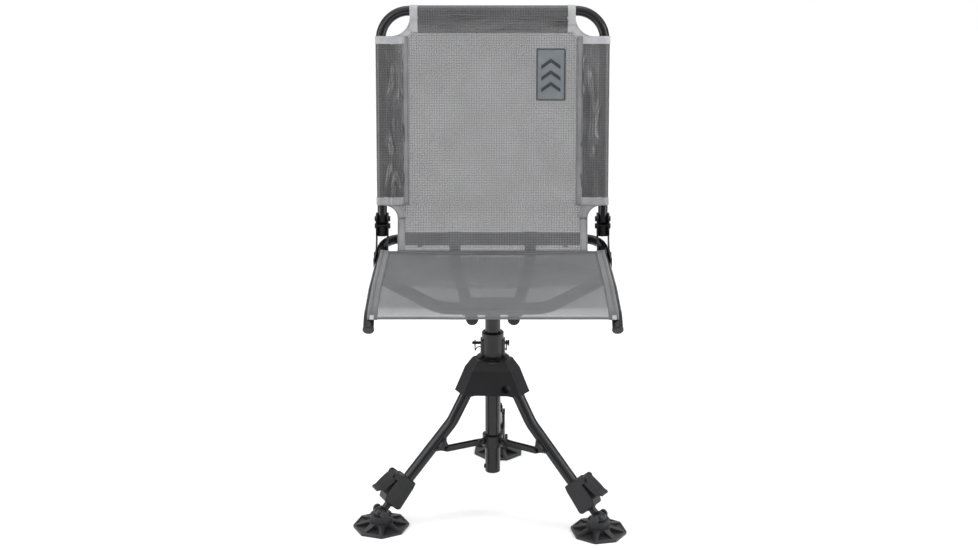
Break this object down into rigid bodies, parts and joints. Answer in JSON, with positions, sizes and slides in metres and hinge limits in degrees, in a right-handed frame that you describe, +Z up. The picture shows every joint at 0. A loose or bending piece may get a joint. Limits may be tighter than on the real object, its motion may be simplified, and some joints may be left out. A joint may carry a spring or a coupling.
{
  "type": "folding tripod swivel chair",
  "caption": "Armless mesh sling chair that swivels on a pinned post above a folding tripod with clamped leg extensions and ball-jointed feet.",
  "frame": {"origin": "on the floor, on the vertical swivel axis between the three feet", "axes": "+Z up, -Y the way the sitter faces, +X to the left hand of the sitter"},
  "size_m": [0.5061, 0.4886, 0.9163],
  "materials": {
    "black_plastic": "matt black moulded nylon",
    "black_rubber": "matt black rubber",
    "black_tube": "satin black powder coat",
    "bushing_plastic": "natural acetal",
    "dark_fastener": "black oxide",
    "grey_mesh": "grey open woven mesh",
    "patch_cloth": "grey-blue woven patch",
    "spring_wire": "blackened spring wire",
    "steel_ring": "plain spring steel"
  },
  "bodies": {
    "base": {"hub_housing": "black_plastic", "hub_bolts": "dark_fastener", "hub_bushing": "bushing_plastic", "thrust_washer": "bushing_plastic"},
    "collar": {"swivel_collar": "black_plastic", "retaining_ring": "steel_ring"},
    "pin": {"lock_pin": "dark_fastener"},
    "bail": {"pin_wire": "spring_wire"},
    "seat": {"seat_post": "black_tube", "post_stop": "black_plastic", "mount_plate": "black_tube", "mount_bolts": "dark_fastener", "rear_crossbar": "black_tube", "crossbar_saddles": "black_tube", "crossbar_bolts": "dark_fastener", "rail_left": "black_tube", "rail_right": "black_tube", "rail_caps": "black_plastic", "front_cross_tube": "black_tube", "strut_left": "black_tube", "strut_right": "black_tube", "strut_plugs": "black_plastic", "hinge_inner_left": "black_tube", "hinge_inner_right": "black_tube", "hinge_outer_left": "black_tube", "hinge_outer_right": "black_tube", "hinge_bolts": "dark_fastener", "rail_bolts": "dark_fastener", "sling_rod": "black_tube", "sling_tail": "grey_mesh", "seat_sling": "grey_mesh"},
    "back": {"backrest_tube": "black_tube", "back_sling": "grey_mesh", "patch": "patch_cloth"},
    "slider": {"slider_collar": "black_plastic", "slider_pins": "dark_fastener"},
    "leg_left": {"leg_tube_left": "black_tube", "leg_bracket_left": "black_tube", "clamp_housing_left": "black_plastic"},
    "link_left": {"link_left": "black_tube"},
    "lever_left": {"clamp_lever_left": "black_plastic"},
    "extension_left": {"leg_extension_left": "black_tube", "ball_stud_left": "black_plastic"},
    "foot_left": {"foot_left": "black_rubber"},
    "leg_right": {"leg_tube_right": "black_tube", "leg_bracket_right": "black_tube", "clamp_housing_right": "black_plastic"},
    "link_right": {"link_right": "black_tube"},
    "lever_right": {"clamp_lever_right": "black_plastic"},
    "extension_right": {"leg_extension_right": "black_tube", "ball_stud_right": "black_plastic"},
    "foot_right": {"foot_right": "black_rubber"},
    "leg_rear": {"leg_tube_rear": "black_tube", "leg_bracket_rear": "black_tube", "clamp_housing_rear": "black_plastic"},
    "link_rear": {"link_rear": "black_tube"},
    "lever_rear": {"clamp_lever_rear": "black_plastic"},
    "extension_rear": {"leg_extension_rear": "black_tube", "ball_stud_rear": "black_plastic"},
    "foot_rear": {"foot_rear": "black_rubber"}
  },
  "joints": [
    {"name": "seat_swivel", "type": "hinge", "parent": "base", "child": "collar", "pos_m": [0, 0, 0.3], "axis": [0, 0, 1], "continuous": true},
    {"name": "seat_height", "type": "slide", "parent": "collar", "child": "seat", "axis": [0, 0, 1], "range_m": [-0.0381, 0.0381]},
    {"name": "pin_pull", "type": "slide", "parent": "collar", "child": "pin", "axis": [1, 0, 0], "range_m": [0, 0.07]},
    {"name": "bail_swing", "type": "hinge", "parent": "collar", "child": "bail", "pos_m": [0, 0, 0.325], "axis": [1, 0, 0], "range_deg": [0, 70]},
    {"name": "back_fold", "type": "hinge", "parent": "seat", "child": "back", "pos_m": [0, 0.19, 0.512], "axis": [1, 0, 0], "range_deg": [0, 98]},
    {"name": "leg_fold_left", "type": "hinge", "parent": "base", "child": "leg_left", "pos_m": [-0.04099, -0.02088, 0.25], "axis": [0.454, -0.891, 0], "range_deg": [0, 31]},
    {"name": "clamp_open_left", "type": "hinge", "parent": "leg_left", "child": "lever_left", "pos_m": [-0.18128, -0.09237, 0.10103], "axis": [-0.454, 0.891, 0], "range_deg": [0, 100]},
    {"name": "leg_extend_left", "type": "slide", "parent": "leg_left", "child": "extension_left", "axis": [-0.6133, -0.3125, -0.7254], "range_m": [0, 0.05]},
    {"name": "foot_tilt_left", "type": "hinge", "parent": "extension_left", "child": "foot_left", "pos_m": [-0.20764, -0.1058, 0.027], "axis": [0.454, -0.891, 0], "range_deg": [-18, 18]},
    {"name": "leg_fold_right", "type": "hinge", "parent": "base", "child": "leg_right", "pos_m": [0.03858, -0.02505, 0.25], "axis": [0.5446, 0.8387, 0], "range_deg": [0, 31.01]},
    {"name": "clamp_open_right", "type": "hinge", "parent": "leg_right", "child": "lever_right", "pos_m": [0.17063, -0.11081, 0.10103], "axis": [-0.5446, -0.8387, 0], "range_deg": [0, 100]},
    {"name": "leg_extend_right", "type": "slide", "parent": "leg_right", "child": "extension_right", "axis": [0.5773, -0.3749, -0.7254], "range_m": [0, 0.05]},
    {"name": "foot_tilt_right", "type": "hinge", "parent": "extension_right", "child": "foot_right", "pos_m": [0.19544, -0.12692, 0.027], "axis": [0.5446, 0.8387, 0], "range_deg": [-18, 18]},
    {"name": "leg_fold_rear", "type": "hinge", "parent": "base", "child": "leg_rear", "pos_m": [0.00241, 0.04594, 0.25], "axis": [-0.9986, 0.0523, 0], "range_deg": [0, 31.01]},
    {"name": "clamp_open_rear", "type": "hinge", "parent": "leg_rear", "child": "lever_rear", "pos_m": [0.01065, 0.20318, 0.10103], "axis": [0.9986, -0.0523, 0], "range_deg": [0, 100]},
    {"name": "leg_extend_rear", "type": "slide", "parent": "leg_rear", "child": "extension_rear", "axis": [0.036, 0.6874, -0.7254], "range_m": [0, 0.05]},
    {"name": "foot_tilt_rear", "type": "hinge", "parent": "extension_rear", "child": "foot_rear", "pos_m": [0.0122, 0.23272, 0.027], "axis": [-0.9986, 0.0523, 0], "range_deg": [-18, 18]},
    {"name": "slider_rise", "type": "slide", "parent": "base", "child": "slider", "axis": [0, 0, 1], "range_m": [0, 0.06237]},
    {"name": "link_swing_left", "type": "hinge", "parent": "slider", "child": "link_left", "pos_m": [-0.02317, -0.0118, 0.1295], "axis": [0.454, -0.891, 0], "range_deg": [0, 88.87]},
    {"name": "link_swing_right", "type": "hinge", "parent": "slider", "child": "link_right", "pos_m": [0.02181, -0.01416, 0.1295], "axis": [0.5446, 0.8387, 0], "range_deg": [0, 88.87]},
    {"name": "link_swing_rear", "type": "hinge", "parent": "slider", "child": "link_rear", "pos_m": [0.00136, 0.02596, 0.1295], "axis": [-0.9986, 0.0523, 0], "range_deg": [0, 88.87]}
  ],
  "couplings": [
    {"joint": "leg_fold_right", "follows": "leg_fold_left", "ratio": 1},
    {"joint": "leg_fold_rear", "follows": "leg_fold_left", "ratio": 1},
    {"joint": "slider_rise", "follows": "leg_fold_left", "m_per_rad": 0.11524},
    {"joint": "link_swing_left", "follows": "leg_fold_left", "ratio": 2.8665},
    {"joint": "link_swing_right", "follows": "leg_fold_left", "ratio": 2.8665},
    {"joint": "link_swing_rear", "follows": "leg_fold_left", "ratio": 2.8665}
  ]
}
